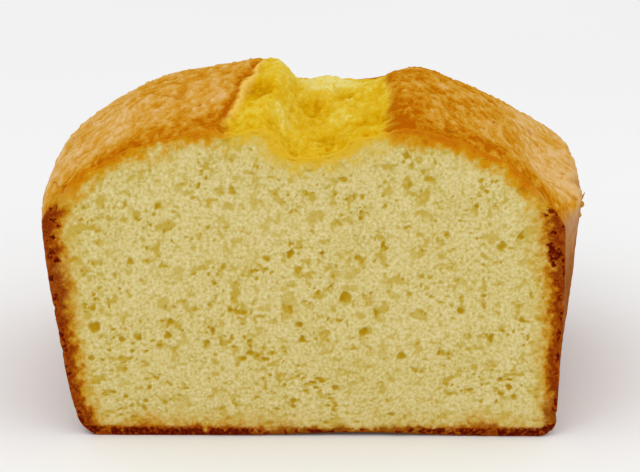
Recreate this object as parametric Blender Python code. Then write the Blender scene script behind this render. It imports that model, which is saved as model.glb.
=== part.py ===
"""Half of a pound cake loaf, cut across its middle and standing on its flat bottom.

The loaf is one solid: a gridded box whose six faces become the cut, the far end, the two
pan sides, the bottom and the domed crown with its lengthwise split. X runs across the loaf,
Y from the cut towards the far end, and Z up. The origin is under the middle of the loaf, on
the surface that it rests on. The sizes below are in millimetres.
"""
import math

import bmesh
import bpy
import numpy as np

MM = 0.001
NODE = "loaf"
COLLECTION = "pound_cake_loaf"

# Lengthwise
LENGTH = 108.0            # cut to the far end, at the height of the pan's rim
END_DRAFT_DEG = 8.0       # slope of the far wall
CORNER = 0.10             # how far the far corners round off, as a share of the plan
CORNER_POWER = 7.0        # how late they start to; below (1 - CORNER) / CORNER they stay open
FLARE_LENGTH = 24.0       # the crown spreads over the rim within this distance of the cut

# Across: half widths from the middle of the bottom, left then right
BASE_HALF = (51.0, 50.6)
CUT_HALF = (59.2, 52.0)
BACK_HALF = (60.2, 56.5)
WALL_POWER = (0.78, 1.0)  # below 1 the wall is convex
RIM_HEIGHT = 47.7         # where the pan wall ends and the crown starts
FOOT_RADIUS = 3.8         # round between wall and bottom
WALL_BOW = (0.8, 0.5)     # how far a wall swells out halfway along, and halfway up

# Crown
CUT_CROWN = 68.6
CREST = 72.2
CREST_AT = 45.0
END_FALL = 7.0
END_POWER = 3.6           # how late the crown turns down to the far rim
CUT_ARCH = ((3.2, 1.4), (3.0, 1.3))     # arch powers on the cut, left then right
BACK_ARCH = ((2.65, 1.27), (2.3, 1.0))  # and behind it

# Split along the crown
SPLIT_LEFT = -8.0         # middle of its steep left bank
SPLIT_RIGHT = 8.5         # middle of its gentle right bank, at the cut
SPLIT_SPREAD = 0.08       # how far that bank moves outwards for each millimetre from the cut
SPLIT_LEFT_SLOPE = 8.0    # width of each bank
SPLIT_RIGHT_SLOPE = 16.0
SPLIT_DEPTH = 5.4
SPLIT_FADE_FROM = 78.0
SPLIT_FADE_TO = 100.0
SPLIT_WANDER = 1.2        # how far its edges wander from straight
SPLIT_WAVE = (11.0, 8.5)  # millimetres for each radian of the left and right edge's wave
SPLIT_START = 0.6
LIP_RISE = 0.8
LIP_WIDTH = 4.0
LIP_OUT = (4.0, 10.5)     # how far outside the middle of each bank its lip stands

# Hand-made unevenness of the crown
SWELL = 0.5
SWELL_PITCH = (6.5, 5.2)     # millimetres for each radian, across and along
SWELL_START = 1.0

# Grid of the box: cells across, along and up, and the rows that turn the foot's round
CELLS = (56, 20, 11)
FOOT_ROWS = 3

CRUST_COLOUR = (0.62, 0.33, 0.09, 1.0)
CRUST_ROUGHNESS = 0.75


def ease(value):
    """Smooth step from 0 to 1, held outside that range."""
    held = np.clip(value, 0.0, 1.0)
    return held * held * (3.0 - 2.0 * held)


def by_side(across, pair):
    """The left or the right one of a pair, by the sign of the place across."""
    return pair[0] if across < 0.0 else pair[1]


def half_width(across, height, along):
    """Distance from the middle plane to the wall at a height and a distance from the cut."""
    flare = ease(along / FLARE_LENGTH)
    rim = by_side(across, CUT_HALF) * (1.0 - flare) + by_side(across, BACK_HALF) * flare
    base = by_side(across, BASE_HALF)
    share = np.clip(height / RIM_HEIGHT, 0.0, 1.0)
    bow = WALL_BOW[0] * math.sin(math.pi * along / LENGTH) + WALL_BOW[1] * math.sin(math.pi * share)
    return base + (rim - base) * share ** by_side(across, WALL_POWER) + bow


def plan(across, along, height):
    """X and Y of a place given across (-1 to 1) and along (0 to 1), at a height."""
    reach = LENGTH - (RIM_HEIGHT - height) * math.tan(math.radians(END_DRAFT_DEG))
    y = reach * along * (1.0 - CORNER * abs(across) ** CORNER_POWER)
    x = half_width(across, height, y) * across * (1.0 - CORNER * along ** CORNER_POWER)
    return x, y


def split_depth(x, y):
    """How far the split lies below the whole crown; its lips stand a little above it."""
    left = x - SPLIT_LEFT + SPLIT_WANDER * math.sin(y / SPLIT_WAVE[0] + SPLIT_START)
    right = SPLIT_RIGHT + SPLIT_SPREAD * y - x + SPLIT_WANDER * math.sin(y / SPLIT_WAVE[1])
    fade = 1.0 - ease((y - SPLIT_FADE_FROM) / (SPLIT_FADE_TO - SPLIT_FADE_FROM))
    sunk = ease(left / SPLIT_LEFT_SLOPE + 0.5) * ease(right / SPLIT_RIGHT_SLOPE + 0.5)
    lip = sum(
        math.exp(-((gap + out) / LIP_WIDTH) ** 2) for gap, out in zip((left, right), LIP_OUT)
    )
    return fade * (SPLIT_DEPTH * sunk - LIP_RISE * lip)


def crown_height(across, along):
    """Z of the crown over a place given across and along."""
    x, y = plan(across, along, RIM_HEIGHT)
    spread = ease(y / FLARE_LENGTH)
    p, q = (
        at_cut * (1.0 - spread) + behind * spread
        for at_cut, behind in zip(by_side(across, CUT_ARCH), by_side(across, BACK_ARCH))
    )
    past_crest = np.clip((y - CREST_AT) / (LENGTH - CREST_AT), 0.0, 1.0)
    ridge = CUT_CROWN + (CREST - CUT_CROWN) * ease(y / CREST_AT) - END_FALL * past_crest ** 2
    arch = max(1.0 - abs(across) ** p, 0.0) ** (1.0 / q)
    arch *= math.sqrt(max(1.0 - along ** END_POWER, 0.0))
    swell = SWELL * math.sin(x / SWELL_PITCH[0] + SWELL_START) * math.sin(y / SWELL_PITCH[1])
    return RIM_HEIGHT + (ridge + swell - RIM_HEIGHT) * arch - split_depth(x, y)


def wall_row(step, top):
    """Height and inward set of a wall row: the foot's quarter round, then straight up.

    step counts the rows from the bottom, and top is the height that the last row reaches.
    """
    if step <= FOOT_ROWS:
        turn = step / FOOT_ROWS * math.pi / 2.0
        return FOOT_RADIUS * (1.0 - math.cos(turn)), FOOT_RADIUS * (1.0 - math.sin(turn))
    share = (step - FOOT_ROWS) / (CELLS[2] - FOOT_ROWS)
    return FOOT_RADIUS + (top - FOOT_RADIUS) * share, 0.0


def place(corner):
    """Move one vertex of the unit box to its place on the loaf, in metres."""
    across = math.copysign(math.sin(abs(corner.x) * math.pi), corner.x)
    along = corner.y + 0.5
    top = crown_height(across, along)
    height, inset = wall_row(round((corner.z + 0.5) * CELLS[2]), top)
    x, y = plan(across, along, min(height, RIM_HEIGHT))
    return (x - inset * across) * MM, (y - inset * along) * MM, height * MM


def gridded_box():
    """A unit cube whose edges are cut into the grid's cells, one direction at a time."""
    box = bmesh.new()
    bmesh.ops.create_cube(box, size=1.0)
    for axis, cells in enumerate(CELLS):
        edges = [
            edge for edge in box.edges
            if abs(edge.verts[0].co[axis] - edge.verts[1].co[axis]) > 0.5
        ]
        bmesh.ops.subdivide_edges(box, edges=edges, cuts=cells - 1, use_grid_fill=True)
    return box


def centre_over_origin(box):
    """Shift the loaf so that the middle of its bounding box stands over the origin."""
    for axis in (0, 1):
        places = [vertex.co[axis] for vertex in box.verts]
        middle = (min(places) + max(places)) / 2.0
        for vertex in box.verts:
            vertex.co[axis] -= middle


def crust_material():
    """Baked crust, the colour that most of the loaf's outside has."""
    material = bpy.data.materials.new("golden_crust")
    material.use_nodes = True
    shader = material.node_tree.nodes["Principled BSDF"]
    shader.inputs["Base Color"].default_value = CRUST_COLOUR
    shader.inputs["Roughness"].default_value = CRUST_ROUGHNESS
    shader.inputs["Metallic"].default_value = 0.0
    return material


def build_loaf(collection):
    """Shape the box into the loaf and add it to the collection."""
    box = gridded_box()
    for vertex in box.verts:
        vertex.co = place(vertex.co)
    centre_over_origin(box)
    bmesh.ops.recalc_face_normals(box, faces=box.faces)
    mesh = bpy.data.meshes.new(NODE)
    box.to_mesh(mesh)
    box.free()
    mesh.shade_smooth()
    mesh.set_sharp_from_angle(angle=math.radians(40.0))
    mesh.materials.append(crust_material())
    collection.objects.link(bpy.data.objects.new(NODE, mesh))


def main():
    """Clear the scene and model the loaf."""
    for item in list(bpy.data.objects):
        bpy.data.objects.remove(item)
    collection = bpy.data.collections.new(COLLECTION)
    bpy.context.scene.collection.children.link(collection)
    build_loaf(collection)


main()
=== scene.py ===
"""Looks of a half pound cake loaf: cut crumb, golden crown with a torn split, browned pan sides.

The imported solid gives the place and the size. Every surface here is a fine grid of points laid
on the same outline as the solid and pushed in or out by crumb, pits and grain, in millimetres.
Values worked out with the grid, such as how deep a pore is or how near the crust, are kept on
its points, and the materials turn them into colour.
"""

import logging
import math
from dataclasses import dataclass, field
from enum import Enum

import bmesh
import bpy
import numpy as np
from mathutils import Matrix, Vector
from mathutils.kdtree import KDTree

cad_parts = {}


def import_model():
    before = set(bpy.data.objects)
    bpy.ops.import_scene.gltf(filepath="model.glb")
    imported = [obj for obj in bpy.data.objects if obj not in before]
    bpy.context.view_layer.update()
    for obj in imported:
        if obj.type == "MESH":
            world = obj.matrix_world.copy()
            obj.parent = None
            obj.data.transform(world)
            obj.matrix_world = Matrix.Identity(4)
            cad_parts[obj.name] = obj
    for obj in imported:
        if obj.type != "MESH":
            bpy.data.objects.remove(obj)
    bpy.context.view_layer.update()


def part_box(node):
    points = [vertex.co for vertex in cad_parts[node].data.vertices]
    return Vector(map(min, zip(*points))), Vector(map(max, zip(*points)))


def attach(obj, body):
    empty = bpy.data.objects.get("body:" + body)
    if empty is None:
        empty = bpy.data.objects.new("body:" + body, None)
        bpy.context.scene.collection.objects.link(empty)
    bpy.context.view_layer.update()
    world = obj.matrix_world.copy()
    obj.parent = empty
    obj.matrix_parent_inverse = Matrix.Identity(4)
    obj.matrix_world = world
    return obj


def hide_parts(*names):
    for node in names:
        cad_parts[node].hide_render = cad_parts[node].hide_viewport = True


LOG = logging.getLogger("pound_cake")
MM = 0.001
GAP_UNIT = 10.0      # the distances kept for the crumb's material are in units of this many millimetres
FINE_STEPS = 4001    # points that an even spacing is read from
SAMPLE_ALONG = 0.3   # share of the loaf's length where the crown's arch is measured across
NODE = "loaf"
SLOT = "baked_cake"
BODY = "root"
Array = np.ndarray


class Side(Enum):
    """The two halves of the loaf, left and right of its middle as the cut is looked at."""

    LEFT = 0
    RIGHT = 1


class Trait(Enum):
    """Values kept on the points of a surface for its material."""

    PORE = "pore"            # 0 on the skin, 1 at the bottom of a deep pit; both materials paint pits darker by it as painted shade
    GRIT = "grit"            # painted highlight: 0 low between the grains of the sandy skin, painted darker as shade, 1 on a raised grain, painted paler
    TORN = "torn"            # 0 baked crust, 1 torn crumb of the split
    HOLLOW = "hollow"        # 0 on a lump of torn crumb, 1 between lumps; the material paints the torn crumb deeper there as painted shade
    BAKE = "bake"            # 0 pale crust, 1 deep orange; paler towards the crown's sides as painted sheen, deeper in the groove by the split's left lip as painted shadow
    PAN = "pan"              # 0 open crown, 1 baked against the pan
    PAN_TAN = "pan_tan"      # 0 dark pan crust, 1 pale tan pan crust
    LIP = "lip"              # 1 on the pale broken edge of the crust
    CROWN_GAP = "crown_gap"  # distance in from the crown, in gap units
    PAN_GAP = "pan_gap"      # distance in from the pan side or bottom, in gap units
    PAN_DARK = "pan_dark"    # 0 golden pan crust in section, 1 dark
    YOLK = "yolk"            # 1 where the cut meets the split
    SCORCH = "scorch"        # 1 on the near-black grains of the crust in section


CRUST_TRAITS = (
    Trait.BAKE,
    Trait.GRIT,
    Trait.PAN,
    Trait.PAN_TAN,
    Trait.PORE,
    Trait.HOLLOW,
    Trait.TORN,
    Trait.LIP,
)


def ease(value: Array) -> Array:
    """Smooth step from 0 to 1, held outside that range.

    Args:
        value: any numbers.

    Returns:
        Numbers from 0 to 1.
    """
    held = np.clip(value, 0.0, 1.0)
    return held * held * (3.0 - 2.0 * held)


def linear(colour: str) -> tuple[float, float, float, float]:
    """Turn an sRGB hex colour into linear red, green, blue and an alpha of 1.

    Args:
        colour: such as #ffffff.

    Returns:
        The four linear values.
    """
    parts = [int(colour[i : i + 2], 16) / 255.0 for i in (1, 3, 5)]
    turned = [c / 12.92 if c <= 0.04045 else ((c + 0.055) / 1.055) ** 2.4 for c in parts]
    return turned[0], turned[1], turned[2], 1.0


class Grain:
    """Repeatable noise in space, read from one seeded lattice of random numbers."""

    SIZE = 64
    STEPS = np.array((17, 29, 41))  # how far one shift moves through the lattice, along each side
    LAYER_SUM = 1.4                 # brings layered noise back to about -1 to 1

    def __init__(self, seed: int) -> None:
        """Fill the lattice from a seed."""
        self.lattice = np.random.default_rng(seed).random((self.SIZE,) * 3)

    def draw(self, cells: Array, shift: int = 0) -> Array:
        """The lattice's number, 0 to 1, for each whole-numbered cell."""
        held = (cells + shift * self.STEPS) & (self.SIZE - 1)
        return self.lattice[held[:, 0], held[:, 1], held[:, 2]]

    def smooth(self, points: Array, pitch: float, shift: int = 0) -> Array:
        """Soft noise from -1 to 1.

        Args:
            points: places in millimetres, one row each.
            pitch: distance between neighbouring highs and lows, in millimetres.
            shift: picks another part of the lattice.

        Returns:
            One value for each point.
        """
        place = points / pitch
        cell = np.floor(place).astype(np.int64)
        part = ease(place - cell)
        total = np.zeros(len(points))
        for corner in range(8):
            step = np.array(((corner >> 2) & 1, (corner >> 1) & 1, corner & 1))
            weight = np.prod(np.where(step, part, 1.0 - part), axis=1)
            total += weight * self.draw(cell + step, shift)
        return total * 2.0 - 1.0

    def layered(self, points: Array, pitch: float, layers: int, shift: int = 0) -> Array:
        """Noise of several pitches, each half the last and about half as strong.

        Args:
            points: places in millimetres.
            pitch: the coarsest pitch, in millimetres.
            layers: how many pitches.
            shift: picks another part of the lattice.

        Returns:
            One value for each point, about -1 to 1.
        """
        total = np.zeros(len(points))
        strength = 1.0
        for layer in range(layers):
            total += strength * self.smooth(points, pitch / 2.0**layer, shift + 3 * layer)
            strength *= 0.5
        return total / self.LAYER_SUM

    def bubbles(
        self, points: Array, pitch: float, radii: tuple[float, float], share: float, shift: int = 0
    ) -> Array:
        """How deep each point lies in the round bubbles that its surface cuts through.

        Args:
            points: places in millimetres, already bent where the bubbles should be uneven.
            pitch: the size of the cell that may hold one bubble, in millimetres.
            radii: smallest and largest radius, in millimetres, up to half the pitch.
            share: the share of cells that hold a bubble.
            shift: picks another part of the lattice.

        Returns:
            Depth in millimetres, 0 outside every bubble.
        """
        cell = np.floor(points / pitch - 0.5).astype(np.int64)
        deepest = np.zeros(len(points))
        for near in np.ndindex(2, 2, 2):
            around = cell + np.array(near)
            centre = np.stack([self.draw(around, shift + k) for k in (1, 2, 3)], axis=1)
            centre = (around + centre) * pitch
            spread = self.draw(around, shift + 4) ** 2
            radius = radii[0] + (radii[1] - radii[0]) * spread
            radius = np.where(self.draw(around, shift + 5) < share, radius, 0.0)
            left = radius**2 - np.sum((points - centre) ** 2, axis=1)
            deepest = np.maximum(deepest, np.sqrt(np.maximum(left, 0.0)))
        return deepest


@dataclass(frozen=True)
class Ripple:
    """Layered unevenness of a surface. Lengths in millimetres."""

    height: float
    pitch: float
    layers: int
    shift: int

    def at(self, grain: Grain, points: Array) -> Array:
        """Height at each point."""
        return self.height * grain.layered(points, self.pitch, self.layers, self.shift)


@dataclass(frozen=True)
class Holes:
    """Round bubbles of one range of sizes: pits, or grains where they are added. Millimetres."""

    pitch: float
    radii: tuple[float, float]
    share: float
    shift: int
    shallowest: float = 0.0
    gain: float = 1.0

    def at(self, grain: Grain, points: Array) -> Array:
        """Depth at each point, leaving out caps shallower than the shallowest."""
        deep = grain.bubbles(points, self.pitch, self.radii, self.share, self.shift)
        return self.gain * np.maximum(deep - self.shallowest, 0.0)


@dataclass(frozen=True)
class LoafForm:
    """The loaf's outline, with the sizes of the solid, in millimetres.

    Across runs from -1 at the left wall to 1 at the right, and along from 0 at the cut to 1 at
    the far end. Pairs hold a left and a right value.
    """

    length: float = 108.0
    end_draft: float = math.radians(8.0)
    corner: float = 0.10
    corner_power: float = 7.0
    flare_length: float = 24.0
    base_half: tuple[float, float] = (51.0, 50.6)
    cut_half: tuple[float, float] = (59.2, 52.0)
    back_half: tuple[float, float] = (60.2, 56.5)
    wall_power: tuple[float, float] = (0.78, 1.0)
    rim_height: float = 47.7
    foot_radius: float = 3.8
    wall_bow: tuple[float, float] = (0.8, 0.5)
    cut_crown: float = 68.6
    crest: float = 72.2
    crest_at: float = 45.0
    end_fall: float = 7.0
    end_power: float = 3.6
    cut_arch: tuple[tuple[float, float], ...] = ((3.2, 1.4), (3.0, 1.3))
    back_arch: tuple[tuple[float, float], ...] = ((2.65, 1.27), (2.3, 1.0))
    split: tuple[float, float] = (-8.0, 8.5)
    split_spread: float = 0.08
    split_depth: float = 5.4
    split_slope: tuple[float, float] = (8.0, 16.0)
    split_fade: tuple[float, float] = (78.0, 100.0)
    split_wander: float = 1.2
    split_wave: tuple[float, float] = (11.0, 8.5)
    split_start: float = 0.6
    lip_rise: float = 0.8
    lip_width: float = 4.0
    lip_out: tuple[float, float] = (4.0, 10.5)
    swell: float = 0.5
    swell_pitch: tuple[float, float] = (6.5, 5.2)
    swell_start: float = 1.0

    @staticmethod
    def by_side(across: Array, pair: tuple[float, float]) -> Array:
        """The left or the right one of a pair, by the sign of the place across."""
        return np.where(across < 0.0, pair[0], pair[1])

    def half_width(self, across: Array, height: Array, y: Array) -> Array:
        """Distance from the middle plane to the wall.

        Args:
            across: places across, -1 to 1.
            height: heights in millimetres.
            y: distances from the cut, in millimetres.

        Returns:
            Half widths in millimetres.
        """
        flare = ease(y / self.flare_length)
        rim = self.by_side(across, self.cut_half) * (1.0 - flare)
        rim += self.by_side(across, self.back_half) * flare
        base = self.by_side(across, self.base_half)
        share = np.clip(height / self.rim_height, 0.0, 1.0)
        bow = self.wall_bow[0] * np.sin(math.pi * y / self.length)
        bow += self.wall_bow[1] * np.sin(math.pi * share)
        return base + (rim - base) * share ** self.by_side(across, self.wall_power) + bow

    def plan(self, across: Array, along: Array, height: Array) -> tuple[Array, Array]:
        """X and Y of places at a height.

        Args:
            across: places across, -1 to 1.
            along: places along, 0 to 1.
            height: heights in millimetres.

        Returns:
            X and Y in millimetres.
        """
        reach = self.length - (self.rim_height - height) * math.tan(self.end_draft)
        y = reach * along * (1.0 - self.corner * np.abs(across) ** self.corner_power)
        x = self.half_width(across, height, y) * across
        return x * (1.0 - self.corner * along**self.corner_power), y

    def sink(self, x: Array, y: Array) -> Array:
        """How far the split lies below the whole crown.

        Args:
            x: places across, in millimetres.
            y: distances from the cut, in millimetres.

        Returns:
            Depths in millimetres; a little below 0 on the lips of the split.
        """
        left = x - self.split[0] + self.split_wander * np.sin(y / self.split_wave[0] + self.split_start)
        right = self.split[1] + self.split_spread * y - x + self.split_wander * np.sin(y / self.split_wave[1])
        fade = 1.0 - ease((y - self.split_fade[0]) / (self.split_fade[1] - self.split_fade[0]))
        sunk = ease(left / self.split_slope[0] + 0.5) * ease(right / self.split_slope[1] + 0.5)
        lip = sum(
            np.exp(-(((gap + out) / self.lip_width) ** 2)) for gap, out in zip((left, right), self.lip_out)
        )
        return fade * (self.split_depth * sunk - self.lip_rise * lip)

    def crown(self, across: Array, along: Array) -> Array:
        """Points of the crown, one row each.

        Args:
            across: places across, -1 to 1.
            along: places along, 0 to 1.

        Returns:
            X, Y and Z in millimetres.
        """
        x, y = self.plan(across, along, np.full_like(across, self.rim_height))
        spread = ease(y / self.flare_length)
        powers = []
        for which in (0, 1):
            at_cut = self.by_side(across, (self.cut_arch[0][which], self.cut_arch[1][which]))
            behind = self.by_side(across, (self.back_arch[0][which], self.back_arch[1][which]))
            powers.append(at_cut * (1.0 - spread) + behind * spread)
        past = np.clip((y - self.crest_at) / (self.length - self.crest_at), 0.0, 1.0)
        ridge = self.cut_crown + (self.crest - self.cut_crown) * ease(y / self.crest_at)
        ridge = ridge - self.end_fall * past**2
        arch = np.maximum(1.0 - np.abs(across) ** powers[0], 0.0) ** (1.0 / powers[1])
        arch = arch * np.sqrt(np.maximum(1.0 - along**self.end_power, 0.0))
        swell = self.swell * np.sin(x / self.swell_pitch[0] + self.swell_start)
        swell = swell * np.sin(y / self.swell_pitch[1])
        height = self.rim_height + (ridge + swell - self.rim_height) * arch - self.sink(x, y)
        return np.stack([x, y, height], axis=1)

    def column(self, across: Array, along: Array, rise: Array, top: Array) -> Array:
        """Points between the bottom and a top height: the foot's quarter round, then straight.

        Args:
            across: places across, -1 to 1.
            along: places along, 0 to 1.
            rise: 0 at the bottom to 1 at the top, by length of outline.
            top: height that a rise of 1 reaches, in millimetres.

        Returns:
            One row for each point.
        """
        round_length = self.foot_radius * math.pi / 2.0
        travelled = rise * (round_length + top - self.foot_radius)
        turn = np.clip(travelled / self.foot_radius, 0.0, math.pi / 2.0)
        inset = self.foot_radius * (1.0 - np.sin(turn))
        straight = np.maximum(travelled - round_length, 0.0)
        height = self.foot_radius * (1.0 - np.cos(turn)) + straight
        x, y = self.plan(across, along, np.minimum(height, self.rim_height))
        return np.stack([x - inset * across, y - inset * along, height], axis=1)

    def even_across(self, count: int, low: float = -1.0, high: float = 1.0) -> Array:
        """Places across whose steps along the crown's arch are about equal."""
        return self._even(count, low, high, True)

    def even_along(self, count: int, low: float = 0.0, high: float = 1.0) -> Array:
        """Places along whose steps along the crown's ridge are about equal."""
        return self._even(count, low, high, False)

    def _even(self, count: int, low: float, high: float, across: bool) -> Array:
        """Places whose steps over the crown are about equal, across or along.

        Args:
            count: how many places.
            low: the first place.
            high: the last place.
            across: across, or else along.

        Returns:
            The places, in order.
        """
        fine = np.linspace(low, high, FINE_STEPS)
        still = np.full_like(fine, SAMPLE_ALONG if across else 0.0)
        points = self.crown(fine, still) if across else self.crown(still, fine)
        steps = np.linalg.norm(np.diff(points, axis=0), axis=1)
        run = np.concatenate([[0.0], np.cumsum(steps)])
        return np.interp(np.linspace(0.0, run[-1], count), run, fine)


@dataclass(frozen=True)
class Dent:
    """A hollow, or with a negative depth a lump, of the torn crumb. Sizes in millimetres."""

    x: float
    y: float
    wide: float
    long: float
    depth: float

    def at(self, points: Array) -> Array:
        """Depth at each point."""
        off = ((points[:, 0] - self.x) / self.wide) ** 2 + ((points[:, 1] - self.y) / self.long) ** 2
        return self.depth * np.exp(-off)


@dataclass(frozen=True)
class Nick:
    """A short crack into the loaf's edge, beside the cut. Sizes in millimetres."""

    x: float
    z: float
    size: float
    depth: float
    reach: float = 3.0

    def at(self, points: Array) -> Array:
        """Depth at each point, fading behind the cut.

        Args:
            points: places in millimetres, one row each.

        Returns:
            Depths in millimetres.
        """
        x, y, z = points.T
        off = ((x - self.x) / (4.0 * self.size)) ** 2 + ((z - self.z) / self.size) ** 2
        return self.depth * np.exp(-off - np.maximum(y, 0.0) / self.reach)


@dataclass
class Baking:
    """How the loaf's outside is pitted, torn and browned. Sizes in millimetres."""

    form: LoafForm
    grain: Grain
    tear_left: tuple[float, float] = (-21.3, -15.6)
    tear_left_turns: float = 50.0
    tear_right: float = 15.8
    tear_ragged: float = 1.3
    tear_step: float = 0.8
    tear_closes: tuple[float, float] = (80.0, 101.0)
    lip_span: tuple[float, float] = (8.0, 60.0)
    front_fall: float = 0.6
    grain_run: tuple[float, float, float] = (1.0, 0.44, 1.0)  # grains run long, as the batter rose
    base_arch: float = 0.8
    tear_edges: tuple[Ripple, Ripple] = (Ripple(1.0, 9.0, 4, 11), Ripple(1.0, 8.0, 4, 13))
    tear_widens: tuple[float, float] = (0.6, 60.0)  # raggedness at the cut, and where it is fullest
    pan_border: Ripple = Ripple(2.2, 6.0, 3, 5)
    pan_fade: float = 4.5
    unevenness: float = 0.25
    crown_grains: Holes = Holes(1.5, (0.3, 0.72), 0.8, 29)
    crown_pits: Holes = Holes(1.7, (0.25, 0.6), 0.55, 31)
    crown_holes: Holes = Holes(5.0, (0.4, 1.0), 0.45, 37)
    crown_swell: Ripple = Ripple(0.3, 6.5, 3, 47)
    crown_sand: Ripple = Ripple(1.0, 1.7, 4, 43)
    crown_front: Ripple = Ripple(0.55, 2.4, 3, 49)
    creases: Ripple = Ripple(1.0, 7.0, 2, 41)
    crease_width: float = 0.09
    crease_slant: float = 0.8
    pan_pits: Holes = Holes(1.5, (0.2, 0.55), 0.65, 131)
    pan_holes: Holes = Holes(4.4, (0.4, 1.2), 0.5, 137)
    pan_swell: Ripple = Ripple(0.25, 9.0, 2, 147)
    pan_sand: Ripple = Ripple(1.0, 1.3, 3, 141)
    torn_lumps: tuple[Ripple, Ripple] = (Ripple(0.55, 5.0, 2, 53), Ripple(0.4, 2.2, 2, 59))
    torn_threads: Ripple = Ripple(0.4, 1.1, 3, 61)
    torn_holes: Holes = Holes(2.0, (0.25, 0.8), 0.6, 67)
    torn_front: Ripple = Ripple(0.6, 2.2, 3, 63)
    torn_fray: Ripple = Ripple(1.0, 2.4, 3, 71)
    face_front: Ripple = Ripple(0.4, 1.6, 3, 57)
    browning_patches: Ripple = Ripple(0.2, 9.0, 2, 73)
    browning_specks: Ripple = Ripple(0.12, 2.6, 2, 79)
    pan_patches: Ripple = Ripple(0.3, 7.0, 3, 151)
    heart: float = 28.0        # height that the surface is pushed away from
    flatten: float = 0.55      # how much less it is pushed across
    end_reach: float = 45.0    # length at the far end where it is also pushed lengthwise
    foot_fade: float = 1.2     # below this height nothing is pushed outwards
    dents: tuple[Dent, ...] = (
        Dent(-14.0, 30.0, 2.8, 6.5, 2.6),
        Dent(-2.4, 34.0, 2.4, 6.5, 1.4),
        Dent(1.0, 11.0, 3.6, 5.0, 1.0),
        Dent(10.6, 17.0, 3.4, 7.0, 1.1),
        Dent(5.0, 43.0, 3.0, 6.0, 1.1),
        Dent(-5.6, 49.0, 2.0, 6.0, 1.1),
        Dent(-11.0, 8.0, 3.0, 5.0, 0.6),
        Dent(1.6, 57.0, 7.0, 11.0, -3.0),
        Dent(-8.5, 47.0, 2.6, 9.0, -0.8),
        Dent(1.0, 44.0, 2.0, 4.0, -0.7),
        Dent(5.5, 27.0, 3.0, 5.0, -0.8),
        Dent(-8.0, 19.0, 3.0, 5.0, -0.5),
    )
    rises: tuple[Dent, ...] = (Dent(7.5, 1.0, 5.5, 9.0, -2.1), Dent(-5.6, 0.0, 2.6, 6.0, 0.3))
    slumps: tuple[Dent, ...] = (Dent(50.0, 35.0, 6.0, 28.0, 2.4), Dent(57.0, 45.0, 3.0, 32.0, -1.3))
    nicks: tuple[Nick, ...] = (
        Nick(50.8, 4.8, 0.45, 1.3),
        Nick(-55.0, 28.5, 0.5, 0.7),
        Nick(51.5, 30.0, 0.5, 0.6),
        Nick(-8.0, 0.6, 0.6, 0.7),
    )

    def outward(self, points: Array) -> Array:
        """Unit directions away from the loaf's middle, the same for every piece.

        Args:
            points: places on the smooth outline, one row each.

        Returns:
            One direction for each point.
        """
        away = points.copy()
        away[:, 0] *= self.flatten
        away[:, 1] = np.maximum(points[:, 1] - self.form.length + self.end_reach, 0.0)
        away[:, 2] = points[:, 2] - self.heart
        return away / np.linalg.norm(away, axis=1, keepdims=True)

    def inside_tear(self, points: Array) -> tuple[Array, Array]:
        """Distance into the split from its left and its right torn edge.

        Args:
            points: places in millimetres, one row each.

        Returns:
            The two distances, below 0 outside the split.
        """
        x, y, _ = points.T
        turn = ease(y / self.tear_left_turns)
        low = self.tear_left[0] * (1.0 - turn) + self.tear_left[1] * turn
        start, end = self.tear_closes
        past = np.clip((y - start) / (end - start), 0.0, 1.0)
        half = (self.tear_right - low) / 2.0 * (1.0 - np.sqrt(1.0 - past**2))
        half += np.maximum(y - end, 0.0)
        flat = points * np.array((1.0, 1.0, 0.0))
        ragged = self.tear_ragged * (self.tear_widens[0] + ease(y / self.tear_widens[1]))
        left = x - low - half + ragged * self.tear_edges[0].at(self.grain, flat)
        right = self.tear_right - x - half + ragged * self.tear_edges[1].at(self.grain, flat)
        return left, right

    def near_cut(self, points: Array, reach: float) -> Array:
        """1 at the cut, fading behind it over a reach in millimetres."""
        return np.exp(-np.maximum(points[:, 1], 0.0) / reach)

    def crown_relief(self, points: Array, bent: Array) -> tuple[Array, Array, Array]:
        """Height, pits and painted highlight of the open crown: raised grains, small pits and creases.

        Args:
            points: places on the smooth outline, one row each.
            bent: the same places, unevenly moved.

        Returns:
            Height in millimetres, how pitted each point is, and how much painted highlight it
            has: paler on raised grains, darker in creases and between grains as painted shade.
        """
        grain = self.grain
        broken = self.near_cut(points * self.grain_run, 1.5)
        points, bent = points * self.grain_run, bent * self.grain_run
        grains = self.crown_grains.at(grain, bent)
        pits = self.crown_pits.at(grain, bent)
        few = self.crown_holes.at(grain, bent)
        slanted = points + points[:, 1:2] * np.array((self.crease_slant, 0.0, 0.0))
        crease = ease(1.0 - np.abs(self.creases.at(grain, slanted)) / self.crease_width)
        crease *= ease(grain.smooth(points, 11.0, 44) * 2.5 - 0.4)
        sandy = self.crown_sand.at(grain, points)
        height = self.crown_swell.at(grain, points) + 0.22 * sandy + 0.45 * grains
        height += broken * self.crown_front.at(grain, points)
        height -= 0.5 * pits + 0.5 * few + 0.35 * crease
        # painted light: raised grains and sand are painted paler as highlight, creases darker as shade;
        # creases also get the pits' painted shade
        grit = 0.3 + 0.6 * sandy + 0.6 * grains - 0.6 * crease
        return height - 0.1, pits / 0.5 + few / 0.8 + 0.6 * crease, grit

    def pan_relief(self, points: Array, bent: Array) -> tuple[Array, Array, Array]:
        """Height, pits and painted highlight of the crust baked against the pan: smoother, with fine pits.

        Args:
            points: places on the smooth outline, one row each.
            bent: the same places, unevenly moved.

        Returns:
            Height in millimetres, how pitted each point is, and how much painted highlight it has where the
            sand rises.
        """
        grain = self.grain
        pits = self.pan_pits.at(grain, bent)
        few = self.pan_holes.at(grain, bent)
        sandy = self.pan_sand.at(grain, points)
        height = self.pan_swell.at(grain, points) + 0.1 * sandy
        height -= 0.4 * pits + 0.35 * few
        # the last value is painted highlight where the sand rises
        return height, pits / 0.5 + few / 1.3, 0.5 + 0.5 * sandy

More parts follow.
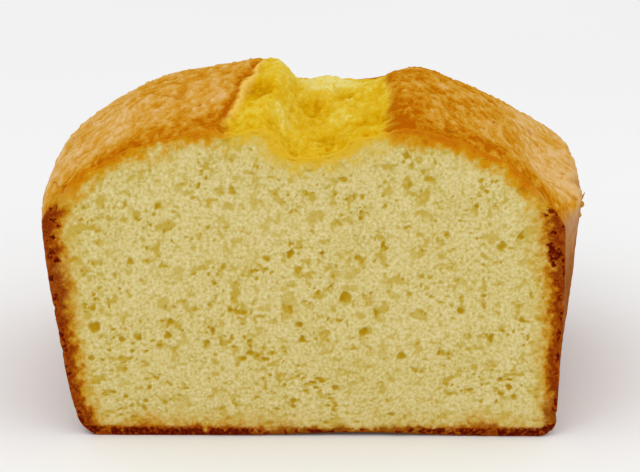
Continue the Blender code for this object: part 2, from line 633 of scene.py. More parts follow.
    def torn_relief(self, points: Array, bent: Array) -> Array:
        """Height of the torn crumb: soft lumps with hollows between them.

        Args:
            points: places on the smooth outline, one row each.
            bent: the same places, unevenly moved.

        Returns:
            Height in millimetres.
        """
        grain = self.grain
        hollows = sum(dent.at(points) for dent in self.dents)
        points, bent = points * self.grain_run, bent * self.grain_run
        height = sum(lumps.at(grain, bent) for lumps in self.torn_lumps)
        height += self.torn_threads.at(grain, points)
        height -= 0.6 * self.torn_holes.at(grain, bent)
        return height - hollows

    def browning(self, points: Array, tear_gap: Array, right: Array) -> Array:
        """How deeply the crown is browned, 0 pale to 1 deep orange, paler towards its sides as painted sheen.

        Args:
            points: places on the smooth outline, one row each.
            tear_gap: distance into the split, in millimetres.
            right: distance into it from its right edge, in millimetres.

        Returns:
            One value for each point.
        """
        x, y, _ = points.T
        near_tear = np.exp(-np.abs(tear_gap) / 2.5)
        by_right = np.exp(-(((right + 2.2) / 3.2) ** 2)) * np.exp(-np.maximum(y - 6.0, 0.0) / 14.0)
        # painted sheen: the crown is paler towards its sides, behind the cut
        dusty = ease((np.abs(x) - 30.0) / 26.0) * ease((y - 4.0) / 14.0)
        bake = 0.36 + 0.34 * self.near_cut(points, 8.0) + 0.2 * near_tear + 0.42 * by_right
        bake += 0.12 * (x > 0.0) * ease(x / 12.0) * (1.0 - dusty) - 0.26 * dusty
        bake += self.browning_patches.at(self.grain, points)
        return bake + self.browning_specks.at(self.grain, points)

    def surface(self, points: Array) -> tuple[Array, dict[Trait, Array]]:
        """Push points of the outline out or in, and say what each is like.

        Args:
            points: places on the smooth outline, one row each.

        Returns:
            The moved points, and the values for the material.
        """
        grain = self.grain
        x, y, z = points.T
        left, right = self.inside_tear(points)
        tear_gap = np.minimum(left, right)
        border = z - self.form.rim_height + self.pan_border.at(grain, points)
        pan = 1.0 - ease(border / self.pan_fade + 0.5)
        torn = ease(tear_gap / 1.4 + 0.4) * (1.0 - pan)
        wander = np.stack([grain.smooth(points, 0.9, k) for k in (21, 22, 23)], axis=1)
        bent = points + self.unevenness * wander

        crown, crown_pits, crown_grit = self.crown_relief(points, bent)
        side, side_pits, side_grit = self.pan_relief(points, bent)
        crumb = self.torn_relief(points, bent)
        starts, ends = self.lip_span
        along_lip = ease((y - starts) / 9.0) * ease((ends - y) / 9.0) * (1.0 - pan)
        lip = np.exp(-(((left - 0.8) / 0.6) ** 2)) * along_lip
        groove = np.exp(-(((left + 0.8) / 0.8) ** 2)) * along_lip

        lifted = crumb - self.tear_step - sum(rise.at(points) for rise in self.rises)
        lifted += self.near_cut(points, 2.5) * self.torn_front.at(grain, points)
        crown = crown - sum(slump.at(points) for slump in self.slumps)
        out = (crown * (1.0 - pan) + side * pan) * (1.0 - torn) + lifted * torn
        out += 0.7 * lip - 0.6 * groove
        out -= self.front_fall * self.near_cut(points, 2.5) * (1.0 - pan)
        out -= sum(nick.at(points) for nick in self.nicks)
        out = np.where(z < self.foot_fade, np.minimum(out, 0.0), out) * ease(z / self.foot_fade)
        placed = points + self.outward(points) * out[:, None]
        placed[:, 1] += self.near_cut(points, 1.5) * self.face_front.at(grain, points) * ease(z / 2.0)
        arch = self.base_arch * np.exp(-(((x - 9.0) / 17.0) ** 2)) * self.near_cut(points, 9.0)
        placed[:, 2] += arch * (1.0 - ease(z / 9.0))

        front = self.near_cut(points, 8.0)
        frayed = (0.5 + 1.8 * front) * self.torn_fray.at(grain, points)
        tan = 0.3 + 0.45 * ease((z - 22.0) / 24.0) + self.pan_patches.at(grain, points)
        # pit and crease depth, which the crust's material paints darker as shade
        pores = (crown_pits * (1.0 - pan) + side_pits * pan) * (1.0 - torn)
        traits = {
            Trait.PORE: np.clip(pores, 0.0, 1.0),
            Trait.GRIT: np.clip(crown_grit * (1.0 - pan) + side_grit * pan, 0.0, 1.0),
            Trait.TORN: ease((tear_gap + 0.6 + frayed) / (2.4 + 2.6 * front)) * (1.0 - pan),
            # painted shade: torn crumb is painted deeper between its lumps, and a little deeper near the cut
            Trait.HOLLOW: np.clip(0.5 - 0.42 * np.tanh(crumb / 1.2) + 0.15 * front, 0.0, 1.0),
            # the groove left of the split's lip is painted deeper orange as the shadow of the crust's edge
            Trait.BAKE: np.clip(self.browning(points, tear_gap, right) + 0.35 * groove, 0.0, 1.2),
            Trait.PAN: pan,
            Trait.PAN_TAN: np.clip(tan, 0.0, 1.0),
            Trait.LIP: np.clip(lip, 0.0, 1.0),
        }
        return placed, traits


@dataclass
class Edge:
    """A stretch of the cut's edge as dense points, with how far the baked outside moves each."""

    points: Array
    moves: Array

    def nearest(self, places: Array) -> tuple[Array, Array]:
        """Distance from each place to the edge, and the move of the edge's nearest point.

        Args:
            places: places in millimetres, one row each.

        Returns:
            The distances and the moves, in millimetres.
        """
        tree = KDTree(len(self.points))
        for index, point in enumerate(self.points):
            tree.insert(point, index)
        tree.balance()
        found = [tree.find(place)[1:] for place in places]
        return np.array([gap for _, gap in found]), self.moves[[index for index, _ in found]]


@dataclass
class CutCrumb:
    """The cut: pale crumb full of pores, ringed by the crust in section. Sizes in millimetres."""

    form: LoafForm
    grain: Grain
    baking: Baking
    edge_round: float = 0.6
    edge_step: float = 0.04
    pull_reach: float = 3.0
    shoulder: float = 5.0
    streak_below: float = 24.0
    streak: float = 0.9
    outline_lengths: tuple[float, float, float] = (160.0, 55.0, 100.0)  # crown, side and base
    uneven: tuple[tuple[float, float, int], ...] = ((0.45, 1.1, 81), (0.14, 0.5, 84))  # size, pitch and shift
    openness: Ripple = Ripple(0.6, 6.0, 2, 88)
    large: Holes = Holes(8.0, (0.7, 1.6), 0.6, 91, 0.45, 1.4)
    medium: Holes = Holes(2.6, (0.4, 1.1), 0.85, 97, 0.2, 1.2)
    small: Holes = Holes(1.3, (0.3, 0.62), 0.85, 103)
    flecks: Ripple = Ripple(2.1, 1.5, 3, 109)
    knife_waves: Ripple = Ripple(0.2, 11.0, 2, 113)
    crumbly_rim: Ripple = Ripple(0.4, 1.6, 2, 115)
    lobes: tuple[Ripple, Ripple] = (Ripple(1.5, 5.5, 2, 119), Ripple(0.9, 1.9, 3, 121))
    crumbs: Ripple = Ripple(0.8, 1.0, 3, 127)
    dark_patches: Ripple = Ripple(0.2, 6.0, 2, 123)
    speckle: Ripple = Ripple(1.0, 1.3, 3, 125)
    crown_edge: Edge = field(init=False)
    pan_edge: Edge = field(init=False)

    def __post_init__(self) -> None:
        """Lay dense points along the crown's edge, and along the pan sides' and bottom's."""
        over, up, along = (int(length / self.edge_step) for length in self.outline_lengths)
        across = self.form.even_across(over)
        crown = self.form.crown(across, np.zeros_like(across))
        rise = np.linspace(0.0, 1.0, up)
        top = np.full_like(rise, self.form.rim_height)
        sides = [
            self.form.column(np.full_like(rise, s), np.zeros_like(rise), rise, top) for s in (-1.0, 1.0)
        ]
        base = np.linspace(sides[0][0], sides[1][0], along)
        low = crown[crown[:, 2] < self.form.rim_height + self.shoulder]
        self.crown_edge = self.edge(crown)
        self.pan_edge = self.edge(np.concatenate([*sides, base, low]))

    def edge(self, points: Array) -> Edge:
        """The edge through points of the outline.

        Args:
            points: places on the smooth outline, one row each.

        Returns:
            The points with their moves.
        """
        behind = points + np.array((0.0, self.edge_round, 0.0))
        moved, _ = self.baking.surface(behind)
        return Edge(points, moved - behind)

    def bend(self, points: Array) -> Array:
        """Places bent so that pores are uneven, and flat and long near the bottom.

        Args:
            points: places in millimetres, one row each.

        Returns:
            The bent places.
        """
        bent = points.copy()
        low = np.maximum(self.streak_below - points[:, 2], 0.0)
        bent[:, 2] -= self.streak * low**2 / (2.0 * self.streak_below)
        for size, pitch, shift in self.uneven:
            steps = [self.grain.smooth(points, pitch, shift + axis) for axis in range(3)]
            bent += size * np.stack(steps, axis=1)
        return bent

    def surface(self, points: Array) -> tuple[Array, dict[Trait, Array]]:
        """Sink the pores into the flat cut, round its edge, and say what each point is like.

        Args:
            points: places on the flat cut, one row each.

        Returns:
            The moved points, and the values for the material.
        """
        grain = self.grain
        x, _, z = points.T
        crown_gap, crown_move = self.crown_edge.nearest(points)
        pan_gap, pan_move = self.pan_edge.nearest(points)
        gap = np.maximum(np.minimum(crown_gap, pan_gap) - self.edge_step / 2.0, 0.0)
        move = np.where((crown_gap < pan_gap)[:, None], crown_move, pan_move)

        bent = self.bend(points)
        open_crumb = np.clip(0.7 + self.openness.at(grain, points), 0.3, 1.0)
        half_open = 0.5 + 0.5 * open_crumb
        large = self.large.at(grain, bent)
        medium = self.medium.at(grain, bent) * half_open
        small = self.small.at(grain, bent) * open_crumb
        flecks = ease(self.flecks.at(grain, bent) - 0.15) * half_open
        inward = 0.35 * large + 0.4 * medium + 0.4 * small + 0.14 * flecks
        inward += self.knife_waves.at(grain, points)
        inward += np.exp(-gap / 1.5) * self.crumbly_rim.at(grain, points)
        inward -= 0.12 * ease(grain.smooth(points, 0.9, 117) * 2.0 - 0.6)

        spots, scorched = self.scorch(points, crown_gap, pan_gap)
        inward += 0.08 * scorched
        into = np.clip(1.0 - gap / self.edge_round, 0.0, 1.0)
        turned = self.edge_round * (1.0 - np.sqrt(np.maximum(1.0 - into**2, 0.0)))
        placed = points + move * ease(1.0 - gap / self.pull_reach)[:, None]
        placed[:, 1] += turned + inward * (1.0 - into)

        lobes = sum(lobe.at(grain, points) for lobe in self.lobes)
        crumbs = self.crumbs.at(grain, points)
        split_left, split_right = self.baking.inside_tear(points)
        yolk = ease(np.minimum(split_left + 2.0, split_right + 2.0) / 6.0)
        along_foot = ease((5.0 - z) / 3.0) * ease((50.0 - np.abs(x)) / 6.0)
        narrow = 1.0 + 0.3 * ease((34.0 - z) / 22.0) + 0.35 * along_foot
        past_rim = 4.0 * ease((z - self.form.rim_height - 1.0) / (self.shoulder - 1.0))
        from_pan = (pan_gap + (0.7 * lobes + crumbs) * np.minimum(pan_gap, 1.0)) * narrow + past_rim
        from_crown = crown_gap + (lobes + 0.8 * crumbs) * np.minimum(crown_gap + 0.3, 1.3)
        # pore depth, which the crumb's material paints darker and yellower as painted shade
        pores = large**2 / 1.6 + medium**2 / 0.75 + small**2 / 0.28 + 0.45 * flecks
        traits = {
            Trait.PORE: np.clip(pores, 0.0, 1.0),
            Trait.CROWN_GAP: np.maximum(from_crown, 0.0) / GAP_UNIT,
            Trait.PAN_GAP: np.maximum(from_pan, 0.0) / GAP_UNIT,
            Trait.PAN_DARK: self.darkness(points),
            Trait.YOLK: yolk,
            Trait.SCORCH: spots,
        }
        return placed, traits

    def darkness(self, points: Array) -> Array:
        """How dark the pan crust is in section: golden mid-bottom, darkest at the lower sides.

        Args:
            points: places on the flat cut, one row each.

        Returns:
            One value for each point, 0 golden to 1 dark.
        """
        x, _, z = points.T
        middle = np.exp(-(((x - 6.0) / 21.0) ** 2)) * ease((10.0 - z) / 6.0)
        corner = np.exp(-(((x - 51.0) / 7.0) ** 2) - (z / 7.0) ** 2)
        uneven = self.dark_patches.at(self.grain, points)
        return np.clip(0.95 - 0.75 * middle - 0.6 * corner + uneven, 0.0, 1.0)

    def scorch(self, points: Array, crown_gap: Array, pan_gap: Array) -> tuple[Array, Array]:
        """Near-black grains in the crust in section, thickest at both shoulders.

        Args:
            points: places on the flat cut.
            crown_gap: distance in from the crown.
            pan_gap: distance in from the pan sides and the bottom.

        Returns:
            Strength of the grains' colour and of their pits, 0 to 1.
        """
        x, _, z = points.T
        shoulder = np.exp(-(((z - self.form.rim_height + 3.0) / 9.0) ** 2))
        foot = ease((4.0 - z) / 2.0) * (1.0 - np.exp(-(((x - 6.0) / 20.0) ** 2)))
        reach = 2.0 + 2.8 * shoulder + 0.7 * foot
        band = ease((reach - pan_gap) / 1.4) * ease(pan_gap / 0.5 + 0.2)
        speckle = self.speckle.at(self.grain, points)
        spots = ease(speckle * 2.8 - 0.15 + 0.35 * (1.0 - shoulder) + 1.6 * foot) * band
        sides = ease((np.abs(x) - 22.0) / 26.0)
        crown_band = np.exp(-(((crown_gap - 0.5) / 0.7) ** 2)) * sides
        edge_spots = ease(speckle * 2.4 - 0.5 + 0.7 * shoulder) * crown_band
        both = np.clip(spots + 0.8 * edge_spots * shoulder, 0.0, 1.0)
        both *= 1.0 - ease((z - self.form.rim_height - 2.0) / 3.0)
        return both, both * shoulder


# Sockets of a Mix node: its share, the two numbers or colours that it mixes, and the colour it gives
SHARE, NUMBER_A, NUMBER_B, COLOUR_A, COLOUR_B, COLOUR_OUT = 0, 2, 3, 6, 7, 2

# What a noise texture mostly stays between, for spreading it over a wider range
NOISE_RANGE = {"From Min": 0.3, "From Max": 0.7}


def marks(size_mm: float) -> float:
    """Scale of a noise texture whose marks are about the given size."""
    return 0.5 / (size_mm * MM)


class Nodes:
    """The nodes of one material."""

    def __init__(self, name: str, roughness: float, specular: float = 0.0) -> None:
        """Start a material with its main shader.

        Args:
            name: what the material is.
            roughness: 0 polished, 1 matt.
            specular: how glossy it is; a dry, porous surface isn't.
        """
        self.material = bpy.data.materials.new(name)
        self.material.use_nodes = True
        self.tree = self.material.node_tree
        self.shader = self.tree.nodes["Principled BSDF"]
        self.shader.inputs["Roughness"].default_value = roughness
        self.shader.inputs["Specular IOR Level"].default_value = specular

    def add(
        self,
        kind: str,
        links: dict[int | str, object],
        out: int | str = 0,
        stops: tuple = (),
        **settings: object,
    ) -> bpy.types.NodeSocket:
        """Add a node with its settings and links.

        Args:
            kind: the node's type name.
            links: for each input, an output to link or a plain value.
            out: which output to give back.
            stops: a ramp's stops, each a place, a hex colour and, where it fades, an alpha.
            settings: properties of the node.

        Returns:
            The chosen output.
        """
        made = self.tree.nodes.new(kind)
        for key, value in settings.items():
            setattr(made, key, value)
        for key, value in links.items():
            if isinstance(value, bpy.types.NodeSocket):
                self.tree.links.new(value, made.inputs[key])
            else:
                made.inputs[key].default_value = value
        while stops and len(made.color_ramp.elements) < len(stops):
            made.color_ramp.elements.new(0.5)
        for number, (place, colour, *alpha) in enumerate(stops):
            made.color_ramp.elements[number].position = place
            made.color_ramp.elements[number].color = (*linear(colour)[:3], alpha[0] if alpha else 1.0)
        return made.outputs[out]

    def finish(self, colour: bpy.types.NodeSocket, height: bpy.types.NodeSocket, deep_mm: float) -> None:
        """Give the shader its colour and its fine relief.

        Args:
            colour: the base colour.
            height: the relief, 0 to 1.
            deep_mm: how deep the relief is, in millimetres.
        """
        normal = self.add("ShaderNodeBump", {"Height": height, "Distance": deep_mm * MM, "Strength": 1.0})
        self.tree.links.new(normal, self.shader.inputs["Normal"])
        self.tree.links.new(colour, self.shader.inputs["Base Color"])

    def glow(self, weight: float, reach: tuple[float, float, float], scale_mm: float) -> None:
        """Let light through the surface, further in red than in blue.

        Args:
            weight: how much of the light goes in.
            reach: how far it goes, for red, green and blue.
            scale_mm: the unit of that reach, in millimetres.
        """
        self.shader.inputs["Subsurface Weight"].default_value = weight
        self.shader.inputs["Subsurface Radius"].default_value = reach
        self.shader.inputs["Subsurface Scale"].default_value = scale_mm * MM


@dataclass(frozen=True)
class CrumbFinish:
    """Fine-pored butter cake crumb, cut with a knife.

    The eye sees matt cream walls with the light sunk yellow in each pore, painted here as
    darker, yellower shade by each pore's depth, and the crust in section as a dark grainy line
    that fades into gold.
    """

    name: str = "butter_cake_crumb"
    roughness: float = 0.9
    wall_mm: float = 0.36        # walls between the finest pores, drawn coarse enough to show; the same noise is their relief, and its low pits are painted darker as shade
    patch_mm: float = 4.0        # patches that baked a little yellower
    patch_share: float = 0.15
    grain_mm: float = 0.8        # grains that break up the border of each coloured band
    grain_shift: float = 0.15    # how far they move it, in gap units
    pore_gain: float = 2.2       # a pore has its full painted shade at one part in this many of its depth
    relief_mm: float = 0.14
    glow: tuple[float, tuple[float, float, float], float] = (0.25, (1.0, 0.8, 0.35), 0.5)
    # pale walls, darker olive in the fine relief's low pits as painted shade
    walls: tuple[tuple[float, str], ...] = ((0.32, "#b5a14e"), (0.47, "#cbba76"), (0.66, "#d9cb9a"))
    # painted shade in the pores, darker and yellower the deeper the pore
    pores: tuple[tuple[float, str], ...] = (
        (0.0, "#c8b76c"),
        (0.3, "#bca344"),
        (0.65, "#b69526"),
        (1.0, "#ae8810"),
    )
    crown_band: tuple[tuple[float, str, float], ...] = (
        (0.0, "#bd6f0a", 1.0),
        (0.12, "#c47f0c", 1.0),
        (0.24, "#c68d10", 1.0),
        (0.34, "#c79824", 0.75),
        (0.45, "#c7a444", 0.3),
        (0.6, "#c8ae5c", 0.0),
    )
    split_band: tuple[tuple[float, str, float], ...] = (
        (0.0, "#d5ab24", 1.0),
        (0.2, "#d3ac28", 0.95),
        (0.36, "#cfae3a", 0.7),
        (0.55, "#ccb050", 0.3),
        (0.8, "#ccb864", 0.0),
    )
    dark_band: tuple[tuple[float, str, float], ...] = (
        (0.0, "#97480f", 1.0),
        (0.1, "#7e2a06", 1.0),
        (0.22, "#8a3a08", 1.0),
        (0.32, "#a8620a", 1.0),
        (0.42, "#bb840e", 0.95),
        (0.54, "#c1952a", 0.65),
        (0.7, "#c6a548", 0.3),
        (0.9, "#c8ae5c", 0.0),
    )
    gold_band: tuple[tuple[float, str, float], ...] = (
        (0.0, "#7c440a", 1.0),
        (0.1, "#935f0c", 1.0),
        (0.2, "#ab7c18", 0.95),
        (0.32, "#bc972e", 0.6),
        (0.55, "#c6aa50", 0.0),
    )
    scorched: tuple[tuple[float, str, float], ...] = (
        (0.0, "#b4680c", 0.0),
        (0.25, "#a04c08", 0.75),
        (0.6, "#6c1c04", 1.0),
        (1.0, "#4e0e02", 1.0),
    )

    def make(self) -> bpy.types.Material:
        """Build the material.

        Returns:
            The finished material.
        """
        nodes = Nodes(self.name, self.roughness)
        place = nodes.add("ShaderNodeTexCoord", {}, "Object")
        links = {"Vector": place, "Scale": marks(self.wall_mm), "Detail": 3.0}
        fine = nodes.add("ShaderNodeTexNoise", links)
        links = {"Vector": place, "Scale": marks(self.patch_mm), "Detail": 2.0}
        patches = nodes.add("ShaderNodeTexNoise", links)
        mottle = nodes.add("ShaderNodeMix", {SHARE: self.patch_share, NUMBER_A: fine, NUMBER_B: patches})
        # painted shade: the fine relief's low pits are darker, its raised walls paler
        cream = nodes.add("ShaderNodeValToRGB", {"Fac": mottle}, stops=self.walls)
        # painted shade: the pore depth picks a darker, yellower colour
        pore = nodes.add("ShaderNodeAttribute", {}, "Fac", attribute_name=Trait.PORE.value)
        sunk = nodes.add("ShaderNodeValToRGB", {"Fac": pore}, stops=self.pores)
        links = {0: pore, 1: self.pore_gain}
        share = nodes.add("ShaderNodeMath", links, operation="MULTIPLY", use_clamp=True)
        links = {SHARE: share, COLOUR_A: cream, COLOUR_B: sunk}
        colour = nodes.add("ShaderNodeMix", links, COLOUR_OUT, data_type="RGBA")
        links = {"Vector": place, "Scale": marks(self.grain_mm), "Detail": 4.0, "Roughness": 0.7}
        grains = nodes.add("ShaderNodeTexNoise", links)
        spread = {**NOISE_RANGE, "To Min": -self.grain_shift, "To Max": self.grain_shift}
        grains = nodes.add("ShaderNodeMapRange", {"Value": grains, **spread})
        colour = self.under_crown(nodes, colour, grains)
        colour = self.beside_pan(nodes, colour, fine, grains)
        nodes.glow(*self.glow)
        nodes.finish(colour, fine, self.relief_mm)
        return nodes.material

    def under_crown(
        self, nodes: Nodes, colour: bpy.types.NodeSocket, grains: bpy.types.NodeSocket
    ) -> bpy.types.NodeSocket:
        """Lay the orange band under the crown and the yellow one under the split.

        Args:
            nodes: the material's nodes.
            colour: what lies under the bands.
            grains: how far the bands' borders are moved, in gap units.

        Returns:
            The colour with the bands.
        """
        gap = nodes.add("ShaderNodeAttribute", {}, "Fac", attribute_name=Trait.CROWN_GAP.value)
        gap = nodes.add("ShaderNodeMath", {0: gap, 1: grains}, operation="ADD")
        yolk = nodes.add("ShaderNodeAttribute", {}, "Fac", attribute_name=Trait.YOLK.value)
        return self.band(nodes, colour, gap, yolk, (self.crown_band, self.split_band))

    def beside_pan(
        self,
        nodes: Nodes,
        colour: bpy.types.NodeSocket,
        fine: bpy.types.NodeSocket,
        grains: bpy.types.NodeSocket,
    ) -> bpy.types.NodeSocket:
        """Lay the brown band along the sides and bottom, and the near-black grains in it.

        Args:
            nodes: the material's nodes.
            colour: what lies under the band.
            fine: noise that breaks up the near-black grains.
            grains: how far the band's border is moved, in gap units.

        Returns:
            The colour with the band and the grains.
        """
        gap = nodes.add("ShaderNodeAttribute", {}, "Fac", attribute_name=Trait.PAN_GAP.value)
        gap = nodes.add("ShaderNodeMath", {0: gap, 1: grains}, operation="ADD")
        dark = nodes.add("ShaderNodeAttribute", {}, "Fac", attribute_name=Trait.PAN_DARK.value)
        colour = self.band(nodes, colour, gap, dark, (self.gold_band, self.dark_band))
        scorch = nodes.add("ShaderNodeAttribute", {}, "Fac", attribute_name=Trait.SCORCH.value)
        spread = {"From Min": 0.35, "From Max": 0.6, "To Min": 0.4, "To Max": 1.0}
        broken = nodes.add("ShaderNodeMapRange", {"Value": fine, **spread})
        strength = nodes.add("ShaderNodeMath", {0: scorch, 1: broken}, operation="MULTIPLY")
        grain = nodes.add("ShaderNodeValToRGB", {"Fac": strength}, stops=self.scorched)
        links = {SHARE: grain.node.outputs["Alpha"], COLOUR_A: colour, COLOUR_B: grain}
        return nodes.add("ShaderNodeMix", links, COLOUR_OUT, data_type="RGBA")

    @staticmethod
    def band(
        nodes: Nodes,
        colour: bpy.types.NodeSocket,
        gap: bpy.types.NodeSocket,
        choice: bpy.types.NodeSocket,
        ramps: tuple[tuple[tuple[float, str, float], ...], ...],
    ) -> bpy.types.NodeSocket:
        """Lay a band of crust in section over a colour, fading out with the distance from the edge.

        Args:
            nodes: the material's nodes.
            colour: what lies under the band.
            gap: distance from the edge, in gap units.
            choice: 0 for the first ramp, 1 for the second.
            ramps: the stops of two ramps over the distance.

        Returns:
            The colour with the band.
        """
        first, second = (nodes.add("ShaderNodeValToRGB", {"Fac": gap}, stops=stops) for stops in ramps)
        links = {SHARE: choice, COLOUR_A: first, COLOUR_B: second}
        band = nodes.add("ShaderNodeMix", links, COLOUR_OUT, data_type="RGBA")
        fades = [ramp.node.outputs["Alpha"] for ramp in (first, second)]
        share = nodes.add("ShaderNodeMix", {SHARE: choice, NUMBER_A: fades[0], NUMBER_B: fades[1]})
        links = {SHARE: share, COLOUR_A: colour, COLOUR_B: band}
        return nodes.add("ShaderNodeMix", links, COLOUR_OUT, data_type="RGBA")


@dataclass(frozen=True)
class CrustFinish:
    """Baked top and pan crust, and the torn crumb of the split.

    The eye sees sandy tan to deep orange skin, paler on raised grains as painted highlight
    and darker in pits, creases and between grains as painted shade, bright yellow crumb where
    the crown tore open, painted deeper between its lumps as shade, and duller brown where the
    batter baked against the pan.
    """

    name: str = "baked_crust"
    roughness: float = 0.8
    sand_mm: float = 0.7         # grains of the sandy skin
    sand_run: tuple[float, float, float] = (1.0, 0.4, 1.0)  # they run long, as the batter rose
    speckle: tuple[float, float] = (0.02, 0.6)
    trough: float = -0.6         # painted highlight: how much paler a raised grain is than the skin round it
    pan_speckle: float = 0.5
    # painted shade: how far a deep pit is darkened towards the pit colour
    pit_share: float = 0.55
    pinholes: tuple[str, str] = ("#ac5c06", "#6b3211")  # painted shade in pits, in the open crown and against the pan
    lip_share: float = 0.8
    lip: str = "#e8c05c"
    relief_mm: float = 0.2
    glow: tuple[float, tuple[float, float, float], float] = (0.15, (1.0, 0.6, 0.25), 0.8)
    skin: tuple[tuple[float, str], ...] = (
        (0.0, "#d9b176"),
        (0.25, "#d0a052"),
        (0.5, "#c98f28"),
        (0.75, "#be790a"),
        (1.0, "#ae5a02"),
    )
    side: tuple[tuple[float, str], ...] = (
        (0.1, "#7d4117"),
        (0.4, "#95582a"),
        (0.7, "#ab7747"),
        (1.0, "#bb9673"),
    )
    torn: tuple[tuple[float, str], ...] = (
        (0.05, "#dfcf78"),
        (0.3, "#dabd40"),
        (0.55, "#d5ad20"),
        (0.78, "#ce9e08"),
        (1.0, "#c08602"),
    )

    def make(self) -> bpy.types.Material:
        """Build the material.

        Returns:
            The finished material.
        """
        nodes = Nodes(self.name, self.roughness)
        place = nodes.add("ShaderNodeTexCoord", {}, "Object")
        place = nodes.add("ShaderNodeMapping", {"Vector": place, "Scale": self.sand_run})
        links = {"Vector": place, "Scale": marks(self.sand_mm), "Detail": 5.0, "Roughness": 0.7}
        sand = nodes.add("ShaderNodeTexNoise", links)
        low, high = self.speckle
        spread = {**NOISE_RANGE, "To Min": low, "To Max": high}
        speckle = nodes.add("ShaderNodeMapRange", {"Value": sand, **spread})
        read = {
            trait: nodes.add("ShaderNodeAttribute", {}, "Fac", attribute_name=trait.value)
            for trait in CRUST_TRAITS
        }
        # painted highlight on raised grains, painted shade between them and in creases
        links = {0: read[Trait.GRIT], 1: self.trough, 2: read[Trait.BAKE]}
        trough = nodes.add("ShaderNodeMath", links, operation="MULTIPLY_ADD")
        baked = nodes.add("ShaderNodeMath", {0: speckle, 1: trough}, operation="ADD")
        skin = nodes.add("ShaderNodeValToRGB", {"Fac": baked}, stops=self.skin)
        links = {0: sand, 1: self.pan_speckle, 2: read[Trait.PAN_TAN]}
        tanned = nodes.add("ShaderNodeMath", links, operation="MULTIPLY_ADD")
        tanned = nodes.add("ShaderNodeMath", {0: tanned, 1: self.pan_speckle / 2.0}, operation="SUBTRACT")
        side = nodes.add("ShaderNodeValToRGB", {"Fac": tanned}, stops=self.side)
        links = {SHARE: read[Trait.PAN], COLOUR_A: skin, COLOUR_B: side}
        colour = nodes.add("ShaderNodeMix", links, COLOUR_OUT, data_type="RGBA")
        # painted shade in pits and creases, by their depth
        share = nodes.add("ShaderNodeMath", {0: read[Trait.PORE], 1: self.pit_share}, operation="MULTIPLY")
        open_pit, pan_pit = (linear(hole) for hole in self.pinholes)
        links = {SHARE: read[Trait.PAN], COLOUR_A: open_pit, COLOUR_B: pan_pit}
        pinhole = nodes.add("ShaderNodeMix", links, COLOUR_OUT, data_type="RGBA")
        links = {SHARE: share, COLOUR_A: colour, COLOUR_B: pinhole}
        colour = nodes.add("ShaderNodeMix", links, COLOUR_OUT, data_type="RGBA")
        # painted shade: the torn crumb's colour deepens between its lumps
        sunk = nodes.add("ShaderNodeMath", {0: speckle, 1: read[Trait.HOLLOW]}, operation="ADD")
        sunk = nodes.add("ShaderNodeMath", {0: sunk, 1: (low + high) / 2.0}, operation="SUBTRACT")
        crumb = nodes.add("ShaderNodeValToRGB", {"Fac": sunk}, stops=self.torn)
        links = {SHARE: read[Trait.TORN], COLOUR_A: colour, COLOUR_B: crumb}
        colour = nodes.add("ShaderNodeMix", links, COLOUR_OUT, data_type="RGBA")
        share = nodes.add("ShaderNodeMath", {0: read[Trait.LIP], 1: self.lip_share}, operation="MULTIPLY")
        links = {SHARE: share, COLOUR_A: colour, COLOUR_B: linear(self.lip)}
        colour = nodes.add("ShaderNodeMix", links, COLOUR_OUT, data_type="RGBA")
        nodes.glow(*self.glow)
        nodes.finish(colour, sand, self.relief_mm)
        return nodes.material


@dataclass(frozen=True)
class ToastFinish:
    """Loose crumbs that stuck to the crust: dry, matt, pale to toasted."""

    name: str = "toasted_crumbs"
    roughness: float = 0.9
    tone_mm: float = 9.0         # one crumb is paler than the next
    grain_mm: float = 0.3
    relief_mm: float = 0.1
    tones: tuple[tuple[float, str], ...] = ((0.35, "#8a4a10"), (0.5, "#bc7c1c"), (0.65, "#dab45c"))

    def make(self) -> bpy.types.Material:
        """Build the material.

        Returns:
            The finished material.
        """
        nodes = Nodes(self.name, self.roughness)
        place = nodes.add("ShaderNodeTexCoord", {}, "Object")
        links = {"Vector": place, "Scale": marks(self.tone_mm), "Detail": 4.0}
        tone = nodes.add("ShaderNodeTexNoise", links)
        links = {"Vector": place, "Scale": marks(self.grain_mm), "Detail": 2.0}
        grain = nodes.add("ShaderNodeTexNoise", links)
        colour = nodes.add("ShaderNodeValToRGB", {"Fac": tone}, stops=self.tones)
        nodes.finish(colour, grain, self.relief_mm)
        return nodes.material


@dataclass(frozen=True)
class TableFinish:
    """Pale laminate that the loaf stands on: matt, with the faintest cloudiness."""

    name: str = "pale_laminate"
    roughness: float = 0.6
    cloud_mm: float = 80.0
    relief_mm: float = 0.02
    tones: tuple[tuple[float, str], ...] = ((0.3, "#efefef"), (0.7, "#f1f1f1"))

    def make(self) -> bpy.types.Material:
        """Build the material.

        Returns:
            The finished material.
        """
        nodes = Nodes(self.name, self.roughness)
        place = nodes.add("ShaderNodeTexCoord", {}, "Object")
        links = {"Vector": place, "Scale": marks(self.cloud_mm), "Detail": 2.0}
        cloud = nodes.add("ShaderNodeTexNoise", links)
        colour = nodes.add("ShaderNodeValToRGB", {"Fac": cloud}, stops=self.tones)
        nodes.finish(colour, cloud, self.relief_mm)
        return nodes.material


